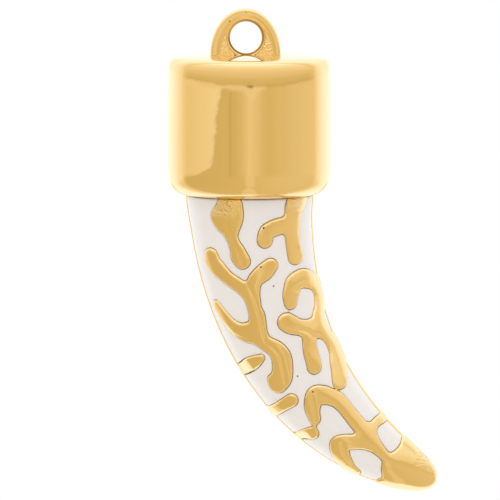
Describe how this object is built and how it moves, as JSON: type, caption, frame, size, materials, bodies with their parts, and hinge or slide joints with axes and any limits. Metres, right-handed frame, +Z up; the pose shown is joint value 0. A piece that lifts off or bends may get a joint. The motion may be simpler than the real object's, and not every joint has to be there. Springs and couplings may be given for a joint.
{
  "type": "shark tooth pendant",
  "caption": "Curved tooth pendant with a gold cap and hanging eye, raised gold coral branches on the tooth, and white enamel between them.",
  "frame": {"origin": "centre of the hole in the hanging eye, where the pendant hangs", "axes": "+Z up along the pendant as it hangs, -Y towards the viewer, the hole runs along Y, and the tooth's tip curves towards +X"},
  "size_m": [0.0215, 0.013, 0.0386],
  "materials": {
    "cap_gold": "polished gold plate",
    "tooth_gold": "polished gold plate",
    "white_enamel": "glossy white enamel"
  },
  "bodies": {
    "root": {"cap": "cap_gold", "tooth": "tooth_gold", "enamel": "white_enamel"}
  },
  "joints": []
}
